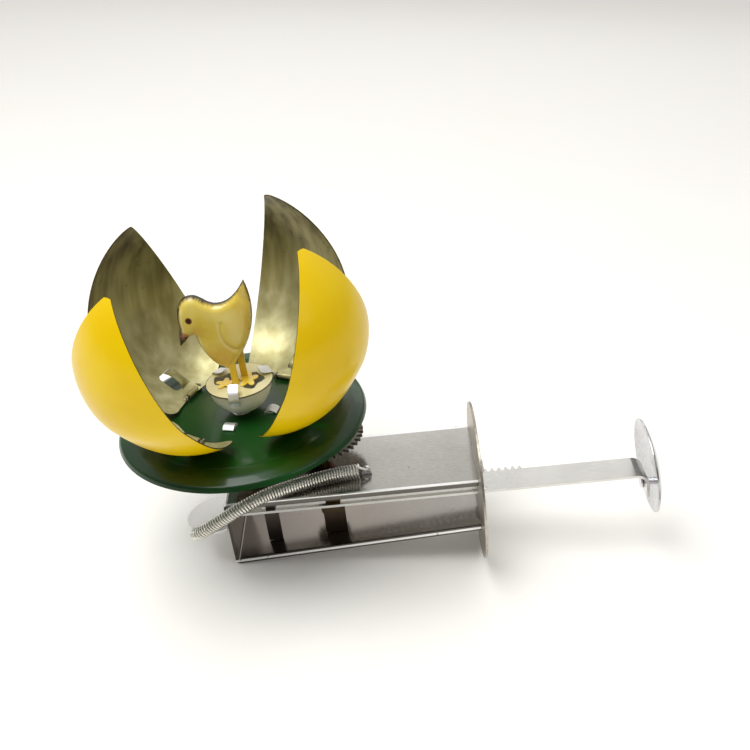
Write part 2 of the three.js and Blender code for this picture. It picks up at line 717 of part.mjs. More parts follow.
piece(toy, "rack_strip", rackStrip(), BRIGHT);
piece(toy, "thumb_pad", thumbPad(), BRIGHT);
piece(toy, "pad_rivet", padRivet(), BRIGHT);

const idler = new THREE.Group();
idler.position.set(IDLER.x, IDLER.y, 0);
toy.add(idler);
const pinionPhase = -Math.PI / 2 + Math.PI / PINION_TEETH;
const pinion = gear(PINION_TEETH, SHAFT + GAP, RACK_BOTTOM - 1, RACK_TOP + 1.5, pinionPhase);
const wheelPhase = meshAngle + Math.PI / GEAR_TEETH;
const wheel = gear(GEAR_TEETH, SHAFT + GAP, GEAR_TOP - 1.2, GEAR_TOP, wheelPhase);
piece(idler, "idler_shaft", rod(SHAFT, floorAtIdler + 0.3, GEAR_TOP + 1.6), DARK_STEEL);
piece(idler, "idler_pinion", pinion, BRASS);
piece(idler, "idler_gear", wheel, STEEL);
piece(idler, "gear_washer", ring(SHAFT + GAP, 5.2, 6.1, GEAR_TOP - 1.2 - GAP), RED);
piece(idler, "gear_clip", ring(SHAFT + GAP, 3.2, GEAR_TOP + GAP, GEAR_TOP + 0.9), BRIGHT);

const rotor = new THREE.Group();
toy.add(rotor);
const spindlePhase = meshAngle + Math.PI;
const spindleWheel = gear(
  SPINDLE_TEETH,
  SHAFT + GAP,
  GEAR_TOP - 2.6,
  GEAR_TOP + 0.6,
  spindlePhase,
);
const sleeve = ring(SHAFT + GAP, 3.0, GEAR_TOP + 0.9, DISC_TOP - TIN - 0.9);
piece(rotor, "spindle", rod(SHAFT, -4.6, CUP_TOP - CUP_RADIUS + 2.4), STEEL);
piece(rotor, "spindle_clip", ring(SHAFT + GAP, 3.2, -3.6, -2.6), STEEL);
piece(rotor, "spindle_pinion", spindleWheel, BRASS);
piece(rotor, "spindle_sleeve", sleeve, STEEL);
piece(rotor, "green_disc", greenDisc(), GREEN);
piece(rotor, "disc_clip", discClip(), BRIGHT);
piece(rotor, "cup", cup(), CREAM);
piece(rotor, "chick_stand", chickStand(), CREAM);
piece(rotor, "chick_half_near", chickHalf(-1), CHICK);
piece(rotor, "chick_half_far", chickHalf(1), CHICK);

const egg = eggShell();
PETALS.forEach(({ azimuth, open, skew }, i) => {
  const place = new THREE.Group();
  place.rotation.z = azimuth * DEG;
  rotor.add(place);
  const hinge = new THREE.Group();
  hinge.position.set(HINGE_RADIUS, 0, HINGE_Z);
  hinge.rotation.z = skew * DEG;
  place.add(hinge);
  piece(hinge, "hinge_bracket_" + (i + 1), hingeBracket(), STEEL);
  piece(hinge, "hinge_pin_" + (i + 1), hingePin(), STEEL);
  const swing = new THREE.Group();
  swing.rotation.y = open * DEG;
  hinge.add(swing);
  piece(swing, "petal_" + (i + 1), petal(egg, skew), YELLOW);
});

// Lean the toy back on its end plate and stand it on the floor, centred.
const standing = new THREE.Group();
toy.rotation.y = -LEAN;
standing.add(toy);
standing.updateMatrixWorld(true);
const bounds = new THREE.Box3().setFromObject(standing, true);
const centre = bounds.getCenter(new THREE.Vector3());
toy.position.set(-centre.x, -centre.y, -bounds.min.z);

export default standing;
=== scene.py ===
"""Push-plunger tin toy: a yellow four-petal egg opens round a tin chick on a green disc."""
import json
import math

import bmesh
import bpy
from mathutils import Matrix, Vector, geometry, noise

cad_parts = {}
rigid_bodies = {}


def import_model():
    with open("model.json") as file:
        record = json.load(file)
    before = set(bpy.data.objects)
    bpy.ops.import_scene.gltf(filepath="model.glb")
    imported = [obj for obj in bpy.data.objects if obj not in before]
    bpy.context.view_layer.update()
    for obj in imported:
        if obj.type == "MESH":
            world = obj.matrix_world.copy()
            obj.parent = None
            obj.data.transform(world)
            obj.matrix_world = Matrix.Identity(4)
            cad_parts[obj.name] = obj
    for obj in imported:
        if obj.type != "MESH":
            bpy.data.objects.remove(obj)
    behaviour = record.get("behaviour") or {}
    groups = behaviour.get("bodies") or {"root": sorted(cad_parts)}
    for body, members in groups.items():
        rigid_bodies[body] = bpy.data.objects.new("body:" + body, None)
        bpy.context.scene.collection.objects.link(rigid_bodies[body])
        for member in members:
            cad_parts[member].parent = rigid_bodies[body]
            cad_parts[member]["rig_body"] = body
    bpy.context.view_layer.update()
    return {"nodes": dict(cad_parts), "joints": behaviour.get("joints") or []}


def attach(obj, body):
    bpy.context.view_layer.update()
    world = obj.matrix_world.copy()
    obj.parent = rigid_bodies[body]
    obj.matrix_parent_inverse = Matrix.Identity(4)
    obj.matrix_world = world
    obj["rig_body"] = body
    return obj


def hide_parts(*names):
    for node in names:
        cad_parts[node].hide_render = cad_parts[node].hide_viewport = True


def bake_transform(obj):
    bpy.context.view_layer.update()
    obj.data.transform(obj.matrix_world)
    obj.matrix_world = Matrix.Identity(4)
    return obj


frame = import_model()

# ---------- dimensions, in millimetres, as the CAD has them ----------
TIN = 0.4
GAP = 0.15
FRAME_NEAR = -12.85
FRAME_FAR = 19.65
FRAME_LEFT = -9.9
FRAME_DEPTH = 25.1  # at the closed end
FRAME_SLOPE = 0.0552  # rise of the bottom plate
DISC_RADIUS = 40
DISC_TOP = 28
RIM_DROP = 2.6
SPIDER_ARMS = (75, 255, 346)
CUP_RADIUS = 10
CUP_TOP = 38.5
CUP_SHIFT = 1.1
STAND_Z = CUP_TOP + GAP
STAND_RADIUS = CUP_RADIUS + 0.6
EGG_HEIGHT = 58.6
EGG_RADIUS = 31.5
EGG_WIDEST = 29.4
EGG_BASE = 20.9
EGG_FOOT = 3.0
EGG_POINT = 1.67
EGG_INSET = 0.17  # keeps the smooth shell inside the faceted solid
PETAL_FOOT = 0.3
PETAL_HALF_ANGLE = 41.8
PETAL_TIP = 2.0
PETAL_TIP_ROUND = 1.6
PETAL_POINT = 0.6
WINDOW = (3.9, 10.7)
WINDOW_HALF = 3.3
WINDOW_SHARE = 0.173  # the window's half width as a share of the petal's
WINDOW_CHAMFER = 0.036  # the same for its cut corners
TONGUE = 2.6
HINGE_RADIUS = 21.1
HINGE_HEIGHT = 1.35
KNUCKLE = 0.95
# azimuth of each petal's middle, how far it stands open, and its pin's turn from square
PETALS = ((49.6, 32.4, 15.6), (146.3, 24.4, 10.8), (231.1, 35.9, 4.1), (325.5, 30.0, 3.6))
PAD_RADIUS = 15.9
PAD_DOME = 3
PAD_TILT = 4.5
PAD_CENTRE = (130.6, -1.4, -8.9)
SPRING_RADIUS = 2.25
WIRE = 0.37
SPRING_ROUTE = (
    (35.0, -4.2, 2.6), (25.3, -5.6, 2.6), (15.4, -8.6, 2.6), (5.7, -12.4, 2.6),
    (-2.6, -15.8, 1.0), (-10.6, -16.8, -2.9), (-16.9, -16.6, -6.6), (-20.6, -14.9, -9.0),
)

# ---------- the toy's own frame: X along the rack, Z up the spindle ----------
JOINT = {j["name"]: j for j in frame["joints"]}
TOY_X = -Vector(JOINT["rack_slide"]["axis"]).normalized()
TOY_Z = Vector(JOINT["disc_spin"]["axis"]).normalized()
TOY_TURN = Matrix((TOY_X, TOY_Z.cross(TOY_X), TOY_Z)).transposed()
TOY_ORIGIN = Vector(JOINT["disc_spin"]["pos_m"])
TOY = Matrix.Translation(TOY_ORIGIN) @ TOY_TURN.to_4x4() @ Matrix.Scale(0.001, 4)


def turn(degrees, axis):
    return Matrix.Rotation(math.radians(degrees), 4, axis)


def shift(x, y, z):
    return Matrix.Translation((x, y, z))


# ---------- materials ----------
class Finish:
    """A Principled material under construction, with short calls for its nodes."""

    def __init__(self, name, **constants):
        self.material = bpy.data.materials.new(name)
        self.material.use_nodes = True
        self.tree = self.material.node_tree
        self.shader = self.tree.nodes["Principled BSDF"]
        for socket, value in constants.items():
            self.shader.inputs[socket.replace("_", " ")].default_value = value
        self.place = self.node("ShaderNodeTexCoord").outputs["Object"]

    def node(self, kind, settings=None, **inputs):
        made = self.tree.nodes.new(kind)
        for key, value in (settings or {}).items():
            setattr(made, key, value)
        for key, value in inputs.items():
            self.put(made.inputs[key.replace("_", " ")], value)
        return made

    def put(self, socket, value):
        if isinstance(value, bpy.types.NodeSocket):
            self.tree.links.new(value, socket)
        else:
            socket.default_value = value

    def to(self, socket, value):
        self.put(self.shader.inputs[socket], value)

    def math(self, operation, a, b=0.0):
        made = self.node("ShaderNodeMath", {"operation": operation})
        self.put(made.inputs[0], a)
        self.put(made.inputs[1], b)
        return made.outputs[0]

    def ramp(self, value, low, high, out_low=0.0, out_high=1.0):
        made = self.node(
            "ShaderNodeMapRange", {"interpolation_type": "SMOOTHSTEP"},
            Value=value, From_Min=low, From_Max=high, To_Min=out_low, To_Max=out_high,
        )
        return made.outputs[0]

    def mix(self, share, a, b):
        made = self.node("ShaderNodeMix", {"data_type": "RGBA"})
        self.put(made.inputs[0], share)
        self.put(made.inputs[6], a)
        self.put(made.inputs[7], b)
        return made.outputs[2]

    def stretched(self, scale, turned=(0, 0, 0), location=(0, 0, 0)):
        made = self.node("ShaderNodeMapping", Vector=self.place, Scale=scale)
        made.inputs["Rotation"].default_value = turned
        made.inputs["Location"].default_value = location
        return made.outputs[0]

    def noise(self, scale, detail=3.0, vector=None, rough=0.5):
        made = self.node(
            "ShaderNodeTexNoise", Vector=vector or self.place,
            Scale=scale, Detail=detail, Roughness=rough,
        )
        return made.outputs["Fac"]

    def bump(self, height, strength, distance):
        made = self.node(
            "ShaderNodeBump", Height=height, Strength=strength, Distance=distance,
        )
        self.to("Normal", made.outputs[0])

    def toy_point(self):
        """Sockets for x, y and z in the toy's frame, in millimetres."""
        back = TOY_TURN.transposed()
        at = self.stretched(
            (1000, 1000, 1000), back.to_euler(), -(back @ TOY_ORIGIN) * 1000
        )
        parts = self.node("ShaderNodeSeparateXYZ", Vector=at)
        return parts.outputs[0], parts.outputs[1], parts.outputs[2]

    def oval(self, x, z, cx, cz, rx, rz, soft):
        """1 inside an oval in a plane of the toy's frame, fading to 0 across its edge."""
        dx = self.math("DIVIDE", self.math("SUBTRACT", x, cx), rx)
        dz = self.math("DIVIDE", self.math("SUBTRACT", z, cz), rz)
        square = self.math("ADD", self.math("MULTIPLY", dx, dx), self.math("MULTIPLY", dz, dz))
        return self.ramp(self.math("SQRT", square), 1 - soft, 1 + soft, 1.0, 0.0)


def rgb(red, green, blue):
    """A colour given as sRGB 0 to 255, in linear light."""
    def linear(value):
        value /= 255
        return value / 12.92 if value <= 0.04045 else ((value + 0.055) / 1.055) ** 2.4
    return (linear(red), linear(green), linear(blue), 1.0)


SMUDGE = 0.06  # roughness that smudges and the drawn grain add
GRAIN = 0.02  # strength of the drawn grain's relief


def sheet_metal(name, light, dark, rough, along=(160, 5000, 5000), shade=None):
    """Plated or tinned sheet with a drawn grain, smudges and fine scratches.

    shade, if given, returns the colour changed and a roughness to add."""
    f = Finish(name, Metallic=1.0)
    cloud = f.noise(60, 5)
    drawn = f.noise(1.0, 3, f.stretched(along))
    pits = f.noise(900, 2)
    tone = f.math("ADD", f.math("MULTIPLY", cloud, 0.4), f.math("MULTIPLY", drawn, 0.6))
    spots = f.ramp(f.noise(420, 2), 0.72, 0.76)
    colour = f.mix(f.ramp(tone, 0.3, 0.7), dark, light)
    if shade:
        colour, extra = shade(f, colour)
        rough = f.math("ADD", extra, rough)
    f.to("Base Color", f.mix(f.math("MULTIPLY", spots, 0.5), colour, rgb(70, 62, 52)))
    rough = f.math("ADD", f.math("MULTIPLY", cloud, SMUDGE), rough)
    f.to("Roughness", f.math("ADD", rough, f.math("MULTIPLY", drawn, SMUDGE)))
    height = f.math("ADD", drawn, f.math("MULTIPLY", pits, 0.4))
    f.bump(height, GRAIN, 0.00005)
    return f.material


def enamel(name, light, dark, rough, coat=1.0, ripple=0.05, shine=0.5):
    """Stoved lacquer over tin: clear gloss, a slight ripple and a few rubbed spots."""
    f = Finish(name, Metallic=0.0, Coat_Weight=coat, Coat_Roughness=0.05, Specular_IOR_Level=shine)
    cloud = f.noise(45, 3)
    rub = f.ramp(f.noise(260, 5), 0.6, 0.75)
    f.to("Base Color", f.mix(f.ramp(cloud, 0.3, 0.7), dark, light))
    f.to("Roughness", f.math("ADD", f.math("MULTIPLY", rub, 0.15), rough))
    f.bump(f.noise(70, 2), ripple, 0.0004)
    return f.material


def gold_lacquer():
    """The petals' inner face: olive-gold varnish over tin, thin and streaky."""
    f = Finish("petal_inner_lacquer", Metallic=0.55, Coat_Weight=0.15, Coat_Roughness=0.25)
    cloud = f.noise(40, 3)
    streak = f.noise(1.0, 2, f.stretched((230, 230, 22)))
    x, y, z = f.toy_point()
    # darker towards the top and brighter low down: partly worn varnish, partly painted shade and
    # reflection
    high = f.ramp(z, 44, 84, 0.0, 1.0)
    tone = f.math("ADD", f.math("MULTIPLY", cloud, 0.3), f.math("MULTIPLY", streak, 0.7))
    base = f.mix(f.ramp(tone, 0.3, 0.7), rgb(158, 150, 98), rgb(204, 198, 150))
    worn_and_shaded = f.mix(f.ramp(tone, 0.35, 0.65), rgb(84, 70, 32), rgb(158, 148, 98))
    colour = f.mix(high, base, worn_and_shaded)
    stain = f.math("MULTIPLY", f.ramp(f.noise(170, 6, None, 0.7), 0.6, 0.66), high)
    f.to("Base Color", f.mix(f.math("MULTIPLY", stain, 0.75), colour, rgb(52, 44, 20)))
    f.to("Roughness", f.math("ADD", f.math("MULTIPLY", cloud, 0.2), 0.32))
    scratch = f.noise(1.0, 2, f.stretched((120, 1400, 900), (0.3, 0.5, 0.2)))
    f.bump(f.math("ADD", cloud, f.math("MULTIPLY", scratch, 0.3)), 0.15, 0.0003)
    return f.material


def chick_print(side):
    """The chick's lithographed tin, in the toy's XZ plane."""
    f = Finish("chick_print_" + side, Coat_Weight=0.6, Coat_Roughness=0.12)
    x, y, z = f.toy_point()
    cloud = f.noise(160, 4)
    colour = f.mix(f.ramp(cloud, 0.35, 0.65), rgb(244, 214, 86), rgb(252, 228, 116))
    breast = f.oval(x, z, -2.6, 48.6, 4.2, 4.6, 0.7)
    colour = f.mix(f.math("MULTIPLY", breast, 0.4), colour, rgb(226, 158, 44))
    back = f.oval(x, z, 8.6, 60, 2.6, 12, 0.8)
    colour = f.mix(f.math("MULTIPLY", back, 0.4), colour, rgb(224, 170, 50))
    wing_out = f.oval(x, z, 3.0, 57.8, 4.4, 6.2, 0.06)
    wing_in = f.oval(x, z, 3.5, 58.6, 4.4, 6.2, 0.08)
    line = f.math("MULTIPLY", f.math("SUBTRACT", wing_out, wing_in), 0.3)
    colour = f.mix(f.math("MAXIMUM", line, 0.0), colour, rgb(176, 108, 40))
    cheek = f.oval(x, z, -8.2, 58.8, 2.2, 1.8, 0.8)
    colour = f.mix(f.math("MULTIPLY", cheek, 0.35), colour, rgb(226, 160, 70))
    beak = f.oval(x, z, -13.6, 55.6, 3.4, 3.0, 0.15)
    colour = f.mix(beak, colour, rgb(214, 128, 84))
    gape = f.oval(x, z, -14.6, 53.8, 2.4, 1.9, 0.2)
    colour = f.mix(f.math("MULTIPLY", gape, 0.85), colour, rgb(126, 30, 22))
    colour = f.mix(f.oval(x, z, -9.9, 62.9, 1.05, 1.1, 0.15), colour, rgb(150, 60, 30))
    colour = f.mix(f.oval(x, z, -9.9, 62.9, 0.72, 0.78, 0.15), colour, rgb(18, 12, 8))
    rim = f.node("ShaderNodeAttribute", {"attribute_name": "rim"}).outputs["Fac"]
    colour = f.mix(rim, colour, rgb(40, 26, 16))
    f.to("Base Color", colour)
    f.to("Roughness", f.math("ADD", f.math("MULTIPLY", cloud, 0.15), 0.22))
    f.bump(f.noise(300, 3), 0.05, 0.0002)
    return f.material


def frame_shade(f, colour):
    """Painted shade and dark reflection inside the frame, painted dark reflection on the near flange
    faces, painted shadow of the disc on the top plate, and painted highlights on the rounded edges and
    the ear.
    """
    x, y, z = f.toy_point()
    within = f.ramp(z, -2.3, -1.3, 1.0, 0.0)
    # painted shade and dark reflection inside the frame under the top plate, strongest towards the closed
    # end
    inside_shade = f.math("MULTIPLY", within, f.ramp(x, 30, 72, 0.7, 0.25))
    colour = f.mix(inside_shade, colour, rgb(142, 132, 122))
    closed_end_shade = f.math("MULTIPLY", within, f.ramp(x, -6, 30, 0.45, 0.0))
    colour = f.mix(closed_end_shade, colour, rgb(74, 66, 60))
    # painted shadow and reflection of the disc: the top plate's upper face dims towards the disc
    disc_shade = f.math("MULTIPLY", f.ramp(z, -0.4, 0.0), f.ramp(x, 30, 46, 0.25, 0.0))
    colour = f.mix(disc_shade, colour, rgb(96, 92, 84))
    # painted dark reflection on the near flanges' faces, with a painted highlight band along the lower
    # one
    near = f.ramp(y, FRAME_NEAR + 0.9, FRAME_NEAR + 0.6)
    face = f.math("MULTIPLY", near, f.ramp(z, -0.25, -0.7))
    upper = f.math("MULTIPLY", face, f.ramp(z, -3.2, -2.8))
    lower = f.math("MULTIPLY", face, f.ramp(z, -3.2, -3.6))
    for flange in (upper, lower):
        colour = f.mix(f.math("MULTIPLY", flange, 0.8), colour, rgb(62, 58, 54))
    # the painted highlight band, a little above the bottom plate
    above = f.math("ADD", z, FRAME_DEPTH + FRAME_SLOPE * FRAME_LEFT)
    above = f.math("SUBTRACT", above, f.math("MULTIPLY", x, FRAME_SLOPE))
    band = f.math("MULTIPLY", f.ramp(above, 0.5, 0.7), f.ramp(above, 1.6, 1.3))
    band = f.math("MULTIPLY", band, lower)
    # painted highlights on the top plate's two long edges and the ear
    edge = f.math("MULTIPLY", near, f.ramp(z, -0.5, -0.2))
    far = f.math("MULTIPLY", f.ramp(y, FRAME_FAR - 1.5, FRAME_FAR - 1.2), f.ramp(z, -0.6, -0.3))
    ear = f.math("MULTIPLY", f.ramp(z, 0.15, 0.4), f.ramp(x, 60, 50))
    bright = f.math("MAXIMUM", f.math("MAXIMUM", edge, far), f.math("MAXIMUM", ear, band))
    return f.mix(bright, colour, rgb(255, 255, 255)), f.math("MULTIPLY", bright, 0.3)


def pad_shade(f, colour):
    """Painted shadow and reflection of the rack's end: a dark streak on the pad."""
    x, y, z = f.toy_point()
    streak = f.oval(y, z, -9.5, -9.6, 9.5, 2.8, 0.7)
    return f.mix(f.math("MULTIPLY", streak, 0.8), colour, rgb(64, 64, 74)), 0.0


def strip_shade(f, colour):
    """Painted shade: the guide strips darken towards the bottom plate, between the plates."""
    x, y, z = f.toy_point()
    return f.mix(f.ramp(z, -15, -4, 0.8, 0.0), colour, rgb(74, 64, 58)), 0.0


FRAME_TIN = sheet_metal("frame_tin", rgb(192, 190, 186), rgb(176, 174, 168), 0.1, shade=frame_shade)
END_TIN = sheet_metal("end_plate_tin", rgb(196, 190, 180), rgb(160, 152, 140), 0.28, (900, 900, 900))
RACK_TIN = sheet_metal("rack_plate", rgb(226, 225, 221), rgb(210, 209, 206), 0.16)
PAD_TIN = sheet_metal("pad_plate", rgb(212, 212, 214), rgb(186, 187, 190), 0.14, (700, 700, 700),
                      shade=pad_shade)
SPRING_WIRE = sheet_metal("spring_wire", rgb(252, 251, 244), rgb(232, 229, 218), 0.3, (400, 400, 400))
PLATED = sheet_metal("plated_steel", rgb(205, 200, 190), rgb(160, 154, 144), 0.25, (600, 600, 600))
BRASS = sheet_metal("brass", rgb(118, 100, 62), rgb(70, 58, 34), 0.34, (700, 700, 90))
DARK_STEEL = sheet_metal("gear_steel", rgb(132, 126, 116), rgb(70, 65, 58), 0.34, (700, 700, 700))
BRIGHT = sheet_metal("bright_tin", rgb(252, 252, 255), rgb(240, 240, 246), 0.45, (500, 500, 500))
STRIP_STEEL = sheet_metal("strip_steel", rgb(132, 126, 116), rgb(70, 65, 58), 0.34, shade=strip_shade)
STRIP_BRASS = sheet_metal("strip_brass", rgb(118, 100, 62), rgb(70, 58, 34), 0.34, shade=strip_shade)
RAW_EDGE = sheet_metal("raw_edge", rgb(120, 104, 60), rgb(70, 60, 34), 0.4, (900, 900, 900))
GREEN = enamel("green_enamel", rgb(9, 66, 14), rgb(4, 46, 8), 0.3, 0.2, 0.02, shine=0.3)
YELLOW = enamel("yellow_lacquer", rgb(242, 206, 0), rgb(236, 196, 0), 0.3, 0.12, 0.02, shine=0.2)
GOLD = gold_lacquer()
BOWL = enamel("bowl_lacquer", rgb(246, 246, 242), rgb(234, 235, 230), 0.35, 0.3, 0.05)
CREAM = enamel("stand_lacquer", rgb(226, 216, 160), rgb(206, 192, 126), 0.3, 0.3)
BLACK_LINE = enamel("printed_black", rgb(64, 54, 34), rgb(40, 32, 18), 0.4, 0.3)
FIBRE = enamel("red_fibre", rgb(150, 34, 24), rgb(110, 20, 14), 0.7, 0.0)
FOOT_YELLOW = enamel("foot_yellow", rgb(252, 218, 70), rgb(244, 202, 48), 0.3, 0.3)


# ---------- making pieces ----------
def finish_mesh(name, mesh, body, materials, sharp, bevel, replaces):
    mesh.shade_smooth()
    mesh.set_sharp_from_angle(angle=math.radians(sharp))
    for m in materials:
        mesh.materials.append(m)
    made = bpy.data.objects.new(name, mesh)
    bpy.context.scene.collection.objects.link(made)
    if bevel:
        modifier = made.modifiers.new("edge", "BEVEL")
        modifier.width = bevel * 0.001
        modifier.segments = 2
        modifier.limit_method = "ANGLE"
        modifier.angle_limit = math.radians(sharp)
        modifier.use_clamp_overlap = True
        made.modifiers.new("even", "WEIGHTED_NORMAL").keep_sharp = True
    if body:
        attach(made, body)
    if replaces:
        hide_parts(*replaces)
    return made


def build(name, body, points, faces, materials, kinds=None, place=None, sharp=40,
          bevel=0, replaces=()):
    """A mesh from points in millimetres, put in place in the toy's frame."""
    mesh = bpy.data.meshes.new(name)
    matrix = TOY @ (place or Matrix.Identity(4))
    mesh.from_pydata([matrix @ Vector(p) for p in points], [], faces)
    bm = bmesh.new()
    bm.from_mesh(mesh)
    if kinds:
        for face, kind in zip(bm.faces, kinds):
            face.material_index = kind
    else:
        bmesh.ops.recalc_face_normals(bm, faces=bm.faces)
    bm.to_mesh(mesh)
    bm.free()
    return finish_mesh(name, mesh, body, materials, sharp, bevel, replaces)


def refine(name, node, material, bevel=0.12, sharp=32):
    """A CAD node again with merged faces, eased edges and smooth bends."""
    bm = bmesh.new()
    bm.from_mesh(frame["nodes"][node].data)
    bmesh.ops.remove_doubles(bm, verts=bm.verts, dist=2e-6)
    bmesh.ops.dissolve_limit(
        bm, angle_limit=math.radians(1), verts=bm.verts, edges=bm.edges
    )
    mesh = bpy.data.meshes.new(name)
    bm.to_mesh(mesh)
    bm.free()
    body = frame["nodes"][node]["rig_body"]
    return finish_mesh(name, mesh, body, [material], sharp, bevel, [node])


def lathe(profile, segments=96):
    """A closed [radius, height] profile turned about Z, as points and faces."""
    points = []
    for r, z in profile:
        for k in range(segments):
            a = 2 * math.pi * k / segments
            points.append((r * math.cos(a), r * math.sin(a), z))
    faces = []
    count = len(profile)
    for i in range(count):
        j = (i + 1) % count
        for k in range(segments):
            m = (k + 1) % segments
            faces.append((i * segments + k, i * segments + m, j * segments + m, j * segments + k))
    return points, faces


def prism(outline, z0, z1):
    """A flat outline raised from z0 to z1."""
    count = len(outline)
    points = [(x, y, z0) for x, y in outline] + [(x, y, z1) for x, y in outline]
    faces = [tuple(range(count))[::-1], tuple(range(count, 2 * count))]
    faces += [(i, (i + 1) % count, count + (i + 1) % count, count + i) for i in range(count)]
    return points, faces


def smooth_line(route, steps):
    """Points along a smooth curve through the route."""
    pts = [Vector(p) for p in route]
    pts = [2 * pts[0] - pts[1], *pts, 2 * pts[-1] - pts[-2]]
    line = []
    for i in range(1, len(pts) - 2):
        a, b, c, d = pts[i - 1:i + 3]
        for k in range(steps):
            t = k / steps
            line.append(0.5 * (2 * b + (c - a) * t + (2 * a - 5 * b + 4 * c - d) * t * t
                               + (3 * b - 3 * c + d - a) * t ** 3))
    return line + [pts[-2]]


def sweep(line, radius, sides=8):
    """A round tube along a line, with closed ends."""
    points, faces = [], []
    normal = Vector((0, 0, 1))
    for i, p in enumerate(line):
        ahead = (line[min(i + 1, len(line) - 1)] - line[max(i - 1, 0)]).normalized()
        normal = (normal - ahead * normal.dot(ahead)).normalized()
        side = ahead.cross(normal)
        for k in range(sides):
            a = 2 * math.pi * k / sides
            points.append(p + radius * (math.cos(a) * normal + math.sin(a) * side))
    for i in range(len(line) - 1):
        for k in range(sides):
            m = (k + 1) % sides
            faces.append((i * sides + k, i * sides + m, (i + 1) * sides + m, (i + 1) * sides + k))
    last = (len(line) - 1) * sides
    faces.append(tuple(range(sides))[::-1])
    faces.append(tuple(range(last, last + sides)))
    return points, faces


def joined(*meshes):
    """Several [points, faces] as one."""
    points, faces = [], []
    for more_points, more_faces in meshes:
        start = len(points)
        points += more_points
        faces += [tuple(i + start for i in f) for f in more_faces]
    return points, faces


def inside(p, loop):
    found = False
    for (x1, y1), (x2, y2) in zip(loop, loop[1:] + loop[:1]):
        if (y1 > p[1]) != (y2 > p[1]) and p[0] < (x2 - x1) * (p[1] - y1) / (y2 - y1) + x1:
            found = not found
    return found


def boundary(faces):
    """Directed edges that only one face uses."""
    edges = {(f[i], f[(i + 1) % len(f)]) for f in faces for i in range(len(f))}
    return [e for e in edges if (e[1], e[0]) not in edges]


def thick_sheet(flat, tris, z0, z1):
    """A flat triangulated sheet with a thickness."""
    count = len(flat)
    points = [(x, y, z1) for x, y in flat] + [(x, y, z0) for x, y in flat]
    faces = [tuple(t) for t in tris] + [tuple(i + count for i in t)[::-1] for t in tris]
    faces += [(b, a, a + count, b + count) for a, b in boundary(tris)]
    return points, faces


def ribbon(line, width, thickness):
    """A strip across Y that follows a line in the XZ plane."""
    points, faces = [], []
    for i, p in enumerate(line):
        ahead = (line[min(i + 1, len(line) - 1)] - line[max(i - 1, 0)]).normalized()
        out = Vector((-ahead.z, 0, ahead.x)) * thickness / 2
        taper = 1 - 0.25 * max(0, 1 - i / 2)
        for side, lift in ((-1, -1), (1, -1), (1, 1), (-1, 1)):
            points.append(p + out * lift + Vector((0, side * width / 2 * taper, 0)))
    for i in range(len(line) - 1):
        for k in range(4):
            m = (k + 1) % 4
            faces.append((4 * i + k, 4 * i + m, 4 * i + 4 + m, 4 * i + 4 + k))
    faces += [(3, 2, 1, 0), tuple(len(points) - 4 + k for k in range(4))]
    return points, faces


def edge_distance(p, loop):
    best = 1e9
    for (x1, y1), (x2, y2) in zip(loop, loop[1:] + loop[:1]):
        dx, dy = x2 - x1, y2 - y1
        t = max(0.0, min(1.0, ((p[0] - x1) * dx + (p[1] - y1) * dy) / (dx * dx + dy * dy + 1e-12)))
        best = min(best, math.hypot(x1 + t * dx - p[0], y1 + t * dy - p[1]))
    return best


def bezier(a, b, c, d, steps=14):
    a, b, c, d = (Vector(p) for p in (a, b, c, d))
    return [((1 - t) ** 3 * a + 3 * t * (1 - t) ** 2 * b + 3 * t * t * (1 - t) * c + t ** 3 * d)
            for t in (k / steps for k in range(steps))]


def spaced(a, b, count):
    return [a + (b - a) * i / count for i in range(count)]


# ---------- frame, rack and gears ----------
refine("frame_body", "frame_strip", FRAME_TIN, 0.16)
refine("end_disc", "end_plate", END_TIN, 0.16)
refine("strip_left", "guide_strip_left", STRIP_STEEL, 0.1)
refine("strip_right", "guide_strip_right", STRIP_BRASS, 0.1)
refine("bush_spindle", "spindle_bush", BRASS, 0.1)
refine("bush_idler_top", "idler_bush_upper", BRASS, 0.1)
refine("bush_idler_foot", "idler_bush_lower", BRASS, 0.1)
refine("rack", "rack_strip", RACK_TIN, 0.12)
refine("rivet", "pad_rivet", BRIGHT, 0.15)
refine("gear_large", "idler_gear", DARK_STEEL, 0.08, 25)
refine("gear_pinion", "idler_pinion", BRASS, 0.08, 25)
refine("gear_shaft", "idler_shaft", DARK_STEEL, 0.15)
refine("gear_fibre", "gear_washer", FIBRE, 0.15)
refine("gear_retainer", "gear_clip", BRIGHT, 0.15)
refine("spindle_rod", "spindle", PLATED, 0.15)
refine("spindle_retainer", "spindle_clip", PLATED, 0.15)
refine("spindle_gear", "spindle_pinion", BRASS, 0.08, 25)
refine("spindle_tube", "spindle_sleeve", PLATED, 0.15)
refine("disc_spider", "disc_clip", BRIGHT, 0.2)


def thumb_pad():
    """A dished disc with a fine rolled rim, hollow towards the frame."""
    sphere = (PAD_RADIUS ** 2 + PAD_DOME ** 2) / (2 * PAD_DOME)
    steps = 26
    outer, inner = [], []
    for i in range(steps + 1):
        r = (PAD_RADIUS - 0.25) * i / steps
        rise = math.sqrt(sphere ** 2 - r ** 2) - sphere + PAD_DOME
        outer.append((max(r, 0.01), rise + 0.6))
        inner.append((max(r, 0.01), rise + 0.02))
    rim = [(PAD_RADIUS - 0.06, 0.5), (PAD_RADIUS, 0.3), (PAD_RADIUS - 0.06, 0.1)]
    points, faces = lathe(inner + rim[::-1] + outer[::-1], 120)
    place = shift(*PAD_CENTRE) @ turn(90 - PAD_TILT, "Y")
    build("pad", "rack", points, faces, [PAD_TIN], place=place,
          replaces=["thumb_pad"])


thumb_pad()


